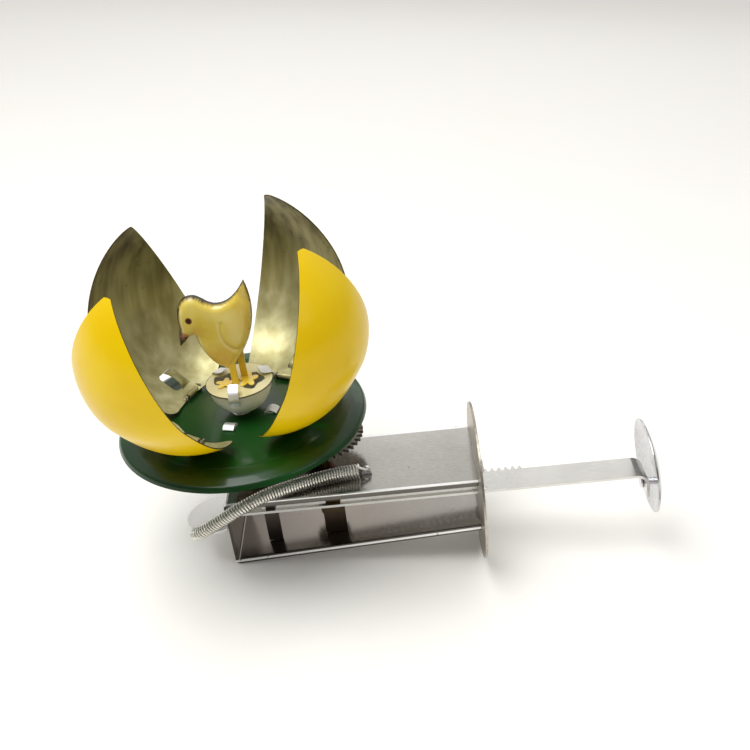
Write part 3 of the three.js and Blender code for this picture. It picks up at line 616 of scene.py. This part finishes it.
def coil_spring():
    """A close-wound spring with a hooked loop at each end, stretched by the rack."""
    line = smooth_line(SPRING_ROUTE, 40)
    length = sum((b - a).length for a, b in zip(line, line[1:]))
    turns = round(length / 0.93)
    per_turn = 14
    winding = []
    total = turns * per_turn
    marks = [0.0]
    for a, b in zip(line, line[1:]):
        marks.append(marks[-1] + (b - a).length)
    normal = Vector((0, 0, 1))
    j = 0
    coil_radius = SPRING_RADIUS - WIRE
    for i in range(total + 1):
        at = length * i / total
        while j < len(marks) - 2 and marks[j + 1] < at:
            j += 1
        t = (at - marks[j]) / (marks[j + 1] - marks[j])
        centre = line[j].lerp(line[j + 1], t)
        ahead = (line[j + 1] - line[j]).normalized()
        normal = (normal - ahead * normal.dot(ahead)).normalized()
        side = ahead.cross(normal)
        a = 2 * math.pi * i / per_turn
        winding.append(centre + coil_radius * (math.cos(a) * normal + math.sin(a) * side))
    upper = smooth_line(
        [(34.4, -4.2, 4.4), (35.6, -4.3, 3.4), (37.1, -4.3, 2.6), (38.1, -3.5, 2.1),
         (37.9, -2.5, 1.9), (36.9, -2.4, 1.9), (36.2, -3.0, 2.1)], 8)
    lower = smooth_line(
        [(-20.4, -15.6, -7.4), (-22.0, -14.6, -8.6), (-22.0, -12.8, -9.6), (-20.4, -11.5, -10.6),
         (-18.9, -11.2, -10.6), (-18.0, -11.6, -9.6), (-18.0, -12.6, -8.9), (-19.0, -13.6, -8.8)], 8)
    points, faces = joined(
        sweep(winding, WIRE, 8), sweep(upper, WIRE + 0.05, 8), sweep(lower, WIRE + 0.05, 8)
    )
    spring = build("spring", None, points, faces, [SPRING_WIRE], sharp=80)
    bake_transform(spring)
    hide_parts("return_spring")


coil_spring()


# ---------- disc, cup and stand ----------
def green_disc():
    def bend(points, steps=5):
        """Rounds each inner corner of an open profile."""
        line = [Vector((*points[0], 0))]
        for a, b, c in zip(points, points[1:], points[2:]):
            a, b, c = (Vector((*p, 0)) for p in (a, b, c))
            reach = min(0.45 * (b - a).length, 0.45 * (c - b).length, 0.9)
            start, end = b + (a - b).normalized() * reach, b + (c - b).normalized() * reach
            for k in range(steps + 1):
                t = k / steps
                line.append((1 - t) ** 2 * start + 2 * t * (1 - t) * b + t * t * end)
        line.append(Vector((*points[-1], 0)))
        return [(p.x, p.y) for p in line]

    top = bend([(3.2, 0), (31, 0), (32.3, 0.35), (36.2, 0.35),
                (DISC_RADIUS - 0.6, -1.0), (DISC_RADIUS, -RIM_DROP)])
    under = bend([(DISC_RADIUS - 0.45, -RIM_DROP), (DISC_RADIUS - 1.0, -1.4), (36.0, -0.08),
                  (32.5, -0.08), (31.2, -TIN), (3.2, -TIN)])
    points, faces = lathe([(r, z + DISC_TOP) for r, z in top + under], 180)
    build("disc", "rotor", points, faces, [GREEN], sharp=50,
          replaces=["green_disc"])


green_disc()


def clip_ears():
    """The disc clip's ears, arched over the disc's slots."""
    for number, azimuth in enumerate(SPIDER_ARMS, 1):
        route = [(8.7, 0, DISC_TOP - 0.3), (8.9, 0, DISC_TOP + 0.75), (10.2, 0, DISC_TOP + 1.25),
                 (11.5, 0, DISC_TOP + 0.95), (12.3, 0, DISC_TOP + 0.25)]
        points, faces = ribbon(smooth_line(route, 5), 3.8, 0.45)
        build("clip_ear_%d" % number, "rotor", points, faces, [BRIGHT],
              place=turn(azimuth, "Z"), sharp=40, bevel=0.12)


def cup_and_stand():
    steps = 16
    outer, inner = [], []
    for i in range(steps + 1):
        a = -math.pi / 2 + (i / steps) * math.pi / 2
        outer.append((max(CUP_RADIUS * math.cos(a), 1.7), CUP_TOP + CUP_RADIUS * math.sin(a)))
        r = CUP_RADIUS - 0.5
        inner.append((max(r * math.cos(a), 1.7), CUP_TOP + r * math.sin(a)))
    place = shift(CUP_SHIFT, 0, 0)
    points, faces = lathe(outer + inner[::-1], 72)
    build("bowl", "rotor", points, faces, [BOWL], place=place, sharp=60,
          replaces=["cup"])

    # the plate, with two ragged openings that the feet stand across
    ring = [(STAND_RADIUS * math.cos(math.radians(a)), STAND_RADIUS * math.sin(math.radians(a)))
            for a in range(0, 360, 5)]
    holes = []
    for side in (-1, 1):
        cx, cy = (-5.0, 0.9) if side < 0 else (4.2, -0.5)
        hole = []
        for k in range(20):
            a = 2 * math.pi * k / 20
            r = 3.2 + 0.5 * math.sin(3 * a + side) + 0.4 * math.cos(5 * a)
            hole.append((cx + r * math.cos(a), cy + r * math.sin(a) * (1.2 if side < 0 else 1.6)))
        holes.append(hole)
    loops = [ring] + holes
    verts = [Vector(p) for loop in loops for p in loop]
    edges, start = [], 0
    for loop in loops:
        n = len(loop)
        edges += [(start + i, start + (i + 1) % n) for i in range(n)]
        start += n
    co, _, tris, _, _, _ = geometry.delaunay_2d_cdt(verts, edges, [], 1, 1e-5)

    def in_hole(p):
        return any(inside(p, hole) for hole in holes)

    kept = [t for t in tris if not in_hole(sum((co[i] for i in t), Vector((0, 0))) / 3)]
    flat = [(c.x, c.y) for c in co]
    points, faces = thick_sheet(flat, kept, STAND_Z, STAND_Z + TIN)
    build("stand", "rotor", points, faces, [CREAM], place=place, sharp=40,
          replaces=["chick_stand"])
    # the plate's dark rolled rim
    start = Vector((STAND_RADIUS - 0.02, 0, STAND_Z + TIN / 2))
    line = [turn(a, "Z") @ start for a in range(0, 361, 5)]
    points, faces = sweep(line, 0.22, 8)
    build("stand_rim", "rotor", points, faces, [BLACK_LINE], place=place, sharp=60)
    # lugs of the bowl: the front one stands up bright over the plate, two lie behind
    front = [(7.8, 42.3), (9.0, 41.7), (10.3, 40.4), (10.85, 38.9), (10.7, 37.4), (10.1, 35.8)]
    back = [(6.9, 40.4), (8.6, 40.0), (10.3, 39.6), (10.8, 38.9), (10.7, 38.2)]
    lugs = ((266, 3.3, front), (25, 5.0, back), (140, 3.6, back))
    for number, (azimuth, width, profile) in enumerate(lugs, 1):
        line = smooth_line([(r, 0, z) for r, z in profile], 4)
        points, faces = ribbon(line, width, 0.35)
        build("bowl_lug_%d" % number, "rotor", points, faces, [BRIGHT],
              place=place @ turn(azimuth, "Z"), sharp=40, bevel=0.1)


cup_and_stand()
clip_ears()


# ---------- chick ----------
def chick_outline():
    """The chick's side view facing -X, as [x, z]."""
    line = bezier((8.2, 73.4), (10.5, 66), (9.5, 56), (3.0, 48.1))
    line += bezier((3.0, 48.1), (1.5, 45.5), (-0.2, 44.0), (-1.6, 44.2))
    line += bezier((-1.6, 44.2), (-5.5, 46.0), (-8.6, 50.5), (-9.3, 57.0))
    line += bezier((-9.3, 57.0), (-10.0, 56.9), (-10.7, 56.7), (-11.4, 56.4), 4)
    line += bezier((-11.4, 56.4), (-12.4, 55.4), (-13.5, 54.4), (-14.6, 53.4), 6)
    line += bezier((-14.6, 53.4), (-14.5, 55.6), (-14.2, 57.8), (-13.6, 59.9), 8)
    line += bezier((-13.6, 59.9), (-14.2, 65), (-12.4, 70.2), (-8.1, 70.0))
    line += bezier((-8.1, 70.0), (-5.4, 69.8), (-4.4, 66.8), (-1.2, 66.6))
    line += bezier((-1.2, 66.6), (2.6, 66.4), (5.6, 69.4), (8.2, 73.4))
    return [(p.x, p.y) for p in line]


def lens(x, z, cx, cz, rx, ry, rz):
    inner = 1 - ((x - cx) / rx) ** 2 - ((z - cz) / rz) ** 2
    return ry * math.sqrt(inner) if inner > 0 else 0.0


CHICK_BODY = (0.2, 56, 12.4, 3.2, 15)
CHICK_HEAD = (-8.6, 63.5, 8.0, 2.8, 8.4)


def chick_half(side, name, node):
    outline = chick_outline()
    count = len(outline)
    step = 0.5
    grid = []
    rows = int((74 - 43) / step)
    for i in range(rows):
        for k in range(int(27 / step)):
            p = (-16 + (k + 0.5 * (i % 2)) * step, 43 + i * step)
            if inside(p, outline) and edge_distance(p, outline) > 0.3:
                grid.append(p)
    verts = [Vector(p) for p in outline + grid]
    edges = [(i, (i + 1) % count) for i in range(count)]
    co, _, tris, _, _, _ = geometry.delaunay_2d_cdt(verts, edges, [], 1, 1e-5)
    depths, rims = [], []
    for c in co:
        p = (c.x, c.y)
        away = edge_distance(p, outline)
        full = (lens(*p, *CHICK_BODY) ** 4 + lens(*p, *CHICK_HEAD) ** 4 + 0.75 ** 4) ** 0.25
        ease = min(away / 2.2, 1.0)
        fold = 0.25 * math.exp(-(wing_distance(p) / 0.5) ** 2)
        swell = 0.12 + 0.88 * math.sqrt(1 - (1 - ease) ** 2)
        depths.append(max(0.3, min(full, 4.0) * swell - fold))
        width = 1.4 if c.x < -12 else 0.75 if c.x < -4 else 0.45 if c.x < 6 else 0.25
        rims.append(min(1.0, max(0.0, 1.6 * (1 - away / width))))
    n = len(co)
    points = [(c.x, side * (0.1 + d), c.y) for c, d in zip(co, depths)]
    points += [(c.x, side * 0.1, c.y) for c in co]
    faces = [tuple(t) for t in tris] + [tuple(i + n for i in t)[::-1] for t in tris]
    faces += [(b, a, a + n, b + n) for a, b in boundary(tris)]
    made = build(name, "rotor", points, faces, [PRINT[side]], sharp=60,
                 replaces=[node])
    attribute = made.data.attributes.new("rim", "FLOAT", "POINT")
    attribute.data.foreach_set("value", rims + [1.0] * n)
    # leg and star foot
    top = STAND_Z + TIN + 0.02
    x0, y0 = (0.2, -2.0) if side < 0 else (2.6, 2.0)
    leg_line = smooth_line([(x0 + 0.2, y0, 49), (x0, y0, 44), (x0 + 0.1, y0, top)], 5)
    leg = ribbon(leg_line, 0.8, 2.1)
    toes = []
    cx, cy, long = (-3.0, -1.5, 0.95) if side < 0 else (4.0, -0.4, 1.4)
    for k in range(40):
        a = 2 * math.pi * k / 40
        r = 1.7 + 1.65 * abs(math.cos(2.5 * (a - math.pi / 2))) ** 1.5
        toes.append((cx + r * math.cos(a), cy + long * r * math.sin(a)))
    foot = prism(toes, top, top + TIN)
    points, faces = joined(leg, foot)
    build(name + "_foot", "rotor", points, faces, [FOOT_YELLOW],
          sharp=40, bevel=0.1)


def wing_distance(p):
    """Distance from the pressed line round the wing."""
    x, z = (p[0] - 3.4) / 4.4, (p[1] - 58.2) / 6.4
    if z > 0.5 or x > 0.8:
        return 9.0
    return abs(math.hypot(x, z) - 1) * 5


PRINT = {-1: chick_print("near"), 1: chick_print("far")}
chick_half(-1, "chick_near", "chick_half_near")
chick_half(1, "chick_far", "chick_half_far")


# ---------- petals ----------
def egg_radius(height):
    if height < EGG_WIDEST:
        below = (1 - height / EGG_WIDEST) ** EGG_FOOT
        return EGG_BASE + (EGG_RADIUS - EGG_BASE) * (1 - below)
    share = (height - EGG_WIDEST) / (EGG_HEIGHT - EGG_WIDEST)
    return EGG_RADIUS * max(0.0, 1 - share ** EGG_POINT) ** (1 / EGG_POINT)


def egg_normal(height):
    """Outward direction (radial, upward) of the egg at a height."""
    a, b = max(height - 0.05, 0), min(height + 0.05, EGG_HEIGHT)
    dr, dz = egg_radius(b) - egg_radius(a), b - a
    length = math.hypot(dr, dz)
    return dz / length, -dr / length


def window_hood(low, high):
    """The tongue pressed inwards along one side of the window, open at its other side."""
    across, down = 16, 8
    outer, inner = [], []
    for i in range(down + 1):
        t = i / down
        y = WINDOW_HALF * (1.25 * t - 1) - 0.1 * (1 - t)
        for k in range(across + 1):
            v = 2 * k / across - 1
            height = (low + high) / 2 + v * (high - low) / 2
            push = TONGUE * math.sin(t * math.pi / 2) * (1 - abs(v) ** 3)
            x = math.sqrt((egg_radius(height) - EGG_INSET) ** 2 - y * y) - TIN - push
            outer.append((x + 0.2, y, height))
            inner.append((x - 0.2, y, height))
    row, n = across + 1, len(outer)
    cells = [(i * row + k, i * row + k + 1, (i + 1) * row + k + 1, (i + 1) * row + k)
             for i in range(down) for k in range(across)]
    faces = cells + [tuple(i + n for i in f)[::-1] for f in cells]
    faces += [(b, a, a + n, b + n) for a, b in boundary(cells)]
    return outer + inner, faces


def petal_grid():
    """The shell's columns, as shares of its half width, and its rows, as heights."""
    window, chamfer = WINDOW_SHARE, WINDOW_CHAMFER
    shares = spaced(-1, -window, 16) + [-window, -window + chamfer]
    shares += spaced(-window + 2 * chamfer, window - chamfer, 4)
    shares += [window - chamfer] + spaced(window, 1, 16) + [1]
    low, high = WINDOW
    tip = EGG_HEIGHT
    while egg_radius(tip) < PETAL_TIP + EGG_INSET + 0.002:
        tip -= 0.002
    heights = spaced(PETAL_FOOT, low, 6) + [low, low + 0.8]
    heights += spaced(low + 1.4, high - 0.8, 4) + [high - 0.8]
    heights += [high + (tip - high) * math.sin(math.pi / 2 * i / 52) for i in range(53)]
    return shares, heights


def petal_sheets(shares, heights):
    """Points of the shell's outer and inner faces, its lower corners cut back."""
    half = math.radians(PETAL_HALF_ANGLE)
    tip = heights[-1]
    points, inner = [], []
    for height in heights:
        for s in shares:
            start, rise = (0.5, 5.0) if s < 0 else (0.74, 1.6)
            corner = max(0.0, (abs(s) - start) / (1 - start))
            lift = rise * corner ** 2.4
            z = height + lift * (tip - height) / (tip - PETAL_FOOT)
            r = egg_radius(z) - EGG_INSET
            limit = half - math.asin(PETAL_POINT * math.sin(half) / r)
            w = max(r - PETAL_TIP, 0)
            limit = min(limit, math.sqrt(2 * PETAL_TIP_ROUND * w + (1.2 * w) ** 2) / r)
            a = s * limit
            nr, nz = egg_normal(z)
            points.append((r * math.cos(a), r * math.sin(a), z))
            q = r - TIN * nr
            inner.append((q * math.cos(a), q * math.sin(a), z - TIN * nz))
    return points, inner


def petal_faces(shares, heights):
    """The outer face's cells, without the window and its cut corners."""
    wide, tall = len(shares), len(heights)
    first_row, last_row = (heights.index(height) for height in WINDOW)
    first, last = shares.index(-WINDOW_SHARE), shares.index(WINDOW_SHARE)
    outer_faces = []
    for i in range(tall - 1):
        for k in range(wide - 1):
            a, b = i * wide + k, i * wide + k + 1
            c, d = b + wide, a + wide
            in_window = first_row <= i < last_row and first <= k < last
            if not in_window:
                outer_faces.append((a, b, c, d))
            elif i == first_row and k == first:
                outer_faces.append((a, b, d))
            elif i == first_row and k == last - 1:
                outer_faces.append((a, b, c))
            elif i == last_row - 1 and k == first:
                outer_faces.append((a, c, d))
            elif i == last_row - 1 and k == last - 1:
                outer_faces.append((b, c, d))
    return outer_faces


def petal(number, azimuth, opened, skew):
    shares, heights = petal_grid()
    points, inner = petal_sheets(shares, heights)
    outer_faces = petal_faces(shares, heights)
    n = len(points)
    faces = outer_faces + [tuple(i + n for i in f)[::-1] for f in outer_faces]
    kinds = [0] * len(outer_faces) + [1] * len(outer_faces)
    edge = boundary(outer_faces)
    faces += [(b, a, a + n, b + n) for a, b in edge]
    kinds += [2] * len(edge)
    hinge = (turn(azimuth, "Z") @ shift(HINGE_RADIUS, 0, DISC_TOP + HINGE_HEIGHT)
             @ turn(skew, "Z") @ turn(opened, "Y"))
    place = hinge @ turn(-skew, "Z") @ shift(-HINGE_RADIUS, 0, -HINGE_HEIGHT)
    body = "petal_%d_body" % number
    name = "petal_%d" % number
    build(name + "_shell", body, points + inner, faces, [YELLOW, GOLD, RAW_EDGE], kinds,
          place, sharp=50, replaces=[name])
    points, faces = window_hood(*WINDOW)
    build(name + "_hood", body, points, faces, [GOLD], place=place, sharp=50)
    # knuckle rolled round the hinge pin
    ring = [(0.62, -2.6), (KNUCKLE - 0.1, -2.6), (KNUCKLE, -2.5), (KNUCKLE, 2.5),
            (KNUCKLE - 0.1, 2.6), (0.62, 2.6)]
    points, faces = lathe(ring, 28)
    build(name + "_knuckle", body, points, faces, [GOLD], sharp=40,
          place=hinge @ turn(90, "X"))
    refine("bracket_%d" % number, "hinge_bracket_%d" % number, PLATED, 0.1)
    refine("pin_%d" % number, "hinge_pin_%d" % number, PLATED, 0.06)


for number, (azimuth, opened, skew) in enumerate(PETALS, 1):
    petal(number, azimuth, opened, skew)


# ---------- floor, light and camera ----------
def floor():
    mesh = bpy.data.meshes.new("floor")
    size, steps = 3.0, 8
    verts = [(size * (i / steps - 0.5), size * (k / steps - 0.5), -0.0002)
             for k in range(steps + 1) for i in range(steps + 1)]
    row = steps + 1
    faces = [(k * row + i, k * row + i + 1, (k + 1) * row + i + 1, (k + 1) * row + i)
             for k in range(steps) for i in range(steps)]
    mesh.from_pydata(verts, [], faces)
    f = Finish("floor_paper", Roughness=0.6, Emission_Strength=0.07)
    f.shader.inputs["Emission Color"].default_value = rgb(255, 253, 248)
    f.to("Base Color", f.mix(f.noise(14, 3), rgb(252, 250, 245), rgb(255, 254, 250)))
    f.bump(f.noise(300, 3), 0.03, 0.0005)
    mesh.materials.append(f.material)
    made = bpy.data.objects.new("floor", mesh)
    bpy.context.scene.collection.objects.link(made)


floor()


def area_light(name, position, target, size, power, colour=(1, 1, 1)):
    data = bpy.data.lights.new(name, "AREA")
    data.shape = "RECTANGLE"
    data.size, data.size_y = size
    data.energy = power
    data.color = colour
    made = bpy.data.objects.new(name, data)
    made.location = position
    made.rotation_mode = "QUATERNION"
    made.rotation_quaternion = (Vector(target) - Vector(position)).to_track_quat("-Z", "Y")
    bpy.context.scene.collection.objects.link(made)


area_light("key", (-0.3, -0.15, 0.85), (0, 0, 0.03), (0.6, 0.5), 5.6)
area_light("fill", (0.6, -0.5, 0.55), (0, 0, 0.03), (0.4, 0.4), 0.6)
area_light("rim", (0.1, 0.9, 0.45), (0, 0, 0.05), (0.9, 0.3), 0.7)


def studio_world():
    """A warm room: dim below and towards the viewer, bright above and behind."""
    world = bpy.data.worlds.new("studio")
    bpy.context.scene.world = world
    world.use_nodes = True
    nodes, links = world.node_tree.nodes, world.node_tree.links
    parts = nodes.new("ShaderNodeSeparateXYZ")
    links.new(nodes.new("ShaderNodeTexCoord").outputs["Generated"], parts.inputs[0])
    both = nodes.new("ShaderNodeMath")
    both.operation = "MULTIPLY"
    spans = ((2, -0.1, 0.55, 0.12, 0.86), (1, -0.5, 0.35, 0.3, 1.0))
    for i, (axis, low, high, dim, bright) in enumerate(spans):
        ramp = nodes.new("ShaderNodeMapRange")
        for socket, value in (("From Min", low), ("From Max", high), ("To Min", dim), ("To Max", bright)):
            ramp.inputs[socket].default_value = value
        links.new(parts.outputs[axis], ramp.inputs["Value"])
        links.new(ramp.outputs[0], both.inputs[i])
    background = nodes["Background"]
    background.inputs["Color"].default_value = (1.0, 0.985, 0.96, 1)
    links.new(both.outputs[0], background.inputs["Strength"])


studio_world()


def camera():
    yaw, pitch, roll = (math.radians(a) for a in (2.258, 30.859, 6.892))
    focal = 964.61 / 750
    back = Vector((math.sin(yaw) * math.cos(pitch), -math.cos(yaw) * math.cos(pitch), math.sin(pitch)))
    right = Vector((math.cos(yaw), math.sin(yaw), 0))
    up = back.cross(right)
    across = right * math.cos(roll) - up * math.sin(roll)
    upright = right * math.sin(roll) + up * math.cos(roll)
    data = bpy.data.cameras.new("camera")
    data.sensor_width = 36
    data.lens = 36 * focal
    data.clip_start, data.clip_end = 0.01, 20
    made = bpy.data.objects.new("camera", data)
    bpy.context.scene.collection.objects.link(made)
    turned = TOY_TURN @ Matrix((across, upright, back)).transposed()
    at = TOY @ Vector((54.177, -261.503, 192.296))
    made.matrix_world = Matrix.Translation(at) @ turned.to_4x4()
    bpy.context.scene.camera = made


camera()
bpy.context.scene.view_settings.view_transform = "Standard"
